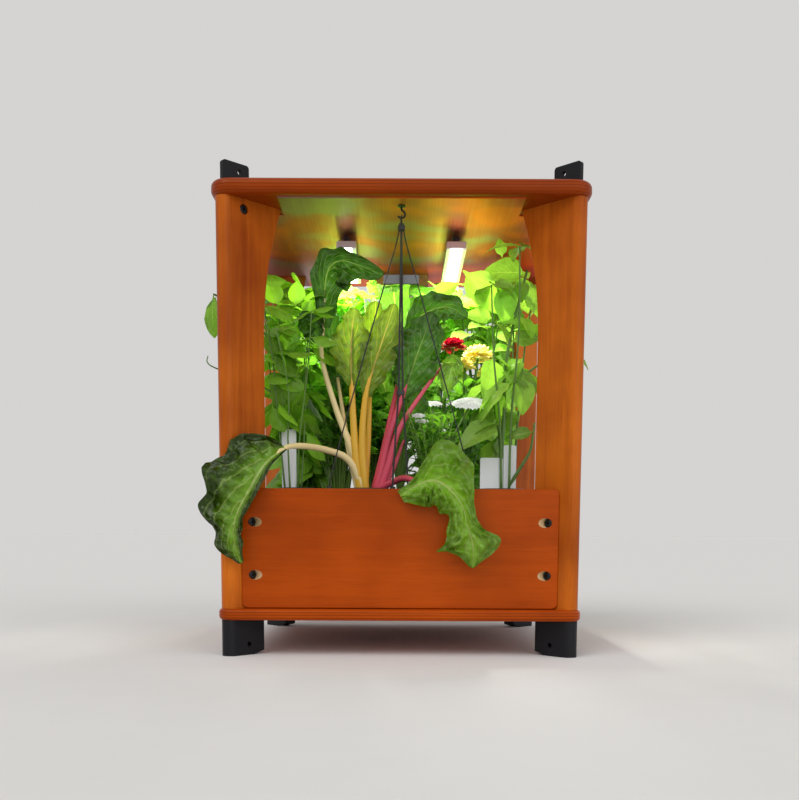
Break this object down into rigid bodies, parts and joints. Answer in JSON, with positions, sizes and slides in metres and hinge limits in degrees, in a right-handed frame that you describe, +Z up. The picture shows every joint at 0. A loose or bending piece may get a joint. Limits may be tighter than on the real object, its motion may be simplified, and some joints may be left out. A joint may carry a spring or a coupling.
{
  "type": "indoor garden",
  "caption": "Square plywood indoor garden open on all sides, with diagonal posts, stacking brackets and feet, lamps, a water tub with net pots, and growing plants.",
  "frame": {"origin": "middle of the object's footprint, on the plane its feet stand on", "axes": "+Z up, -Y to the viewer's side that the picture shows, +X to the right in the picture"},
  "size_m": [0.384, 0.384, 0.4995],
  "materials": {
    "stained_wood": "satin orange-brown stain over plywood",
    "pale_wood": "raw beech",
    "black_nylon": "fine satin black",
    "black_steel": "black oxide",
    "zinc_steel": "zinc plated",
    "brass": "turned brass",
    "satin_aluminium": "satin reflective sheet",
    "bar_aluminium": "anodised",
    "white_board": "white circuit board",
    "lit_diffuser": "opal, lit white",
    "green_board": "green circuit board",
    "grey_nylon": "grey plastic",
    "black_cord": "braided black cord",
    "black_tub": "moulded black",
    "brown_plug": "dark growing sponge",
    "white_label": "blank white",
    "pump_plastic": "dark moulded",
    "impeller_plastic": "white moulded",
    "riser_rubber": "black hose",
    "chard_leaf": "crinkled green leaf, gold and pink stems",
    "basil_leaf": "glossy green leaf",
    "pepper_leaf": "glossy green leaf",
    "alyssum_leaf": "small white heads over green",
    "parsley_leaf": "feathery green",
    "kale_leaf": "matt dark green",
    "marigold_flower": "yellow head over green",
    "celosia_flower": "crimson head over green"
  },
  "bodies": {
    "garden": {"top_board": "stained_wood", "base_board": "stained_wood", "post_front_left": "stained_wood", "bracket_front_left": "black_nylon", "foot_front_left": "black_nylon", "post_front_right": "stained_wood", "bracket_front_right": "black_nylon", "foot_front_right": "black_nylon", "post_back_right": "stained_wood", "bracket_back_right": "black_nylon", "foot_back_right": "black_nylon", "post_back_left": "stained_wood", "bracket_back_left": "black_nylon", "foot_back_left": "black_nylon", "apron_front": "stained_wood", "apron_right": "stained_wood", "apron_back": "stained_wood", "apron_left": "stained_wood", "apron_bolts": "black_steel", "apron_inserts": "brass", "bracket_bolts": "black_steel", "foot_screws": "zinc_steel", "dowels": "pale_wood", "reflector": "satin_aluminium", "led_housing_left": "bar_aluminium", "led_housing_right": "bar_aluminium", "led_strip_left": "white_board", "led_strip_right": "white_board", "led_diffuser_left": "lit_diffuser", "led_diffuser_right": "lit_diffuser", "led_standoffs": "black_nylon", "driver_box": "satin_aluminium", "driver_board": "green_board", "power_jack": "black_nylon", "ceiling_hook": "black_steel", "spreader_bar": "grey_nylon", "centre_cord": "black_cord", "side_cord_left": "black_cord", "side_cord_right": "black_cord", "cord_ties": "black_nylon", "cord_anchors": "black_nylon", "reservoir_tub": "black_tub", "grow_deck": "black_tub", "net_pots": "black_tub", "grow_plugs": "brown_plug", "plant_labels": "white_label", "pump_body": "pump_plastic", "pump_cover": "pump_plastic", "riser_tube": "riser_rubber", "rainbow_chard": "chard_leaf", "basil_plants": "basil_leaf", "pepper_plants": "pepper_leaf", "alyssum": "alyssum_leaf", "parsley_plants": "parsley_leaf", "kale": "kale_leaf", "marigold": "marigold_flower", "celosia": "celosia_flower"},
    "impeller": {"pump_impeller": "impeller_plastic"},
    "button": {"light_button": "grey_nylon"}
  },
  "joints": [
    {"name": "impeller_spin", "type": "hinge", "parent": "garden", "child": "impeller", "pos_m": [0, 0.0225, 0.071], "axis": [0, 1, 0], "continuous": true},
    {"name": "light_button_press", "type": "slide", "parent": "garden", "child": "button", "axis": [0, -1, 0], "range_m": [0, 0.0015], "stiffness_N_per_m": 800}
  ]
}
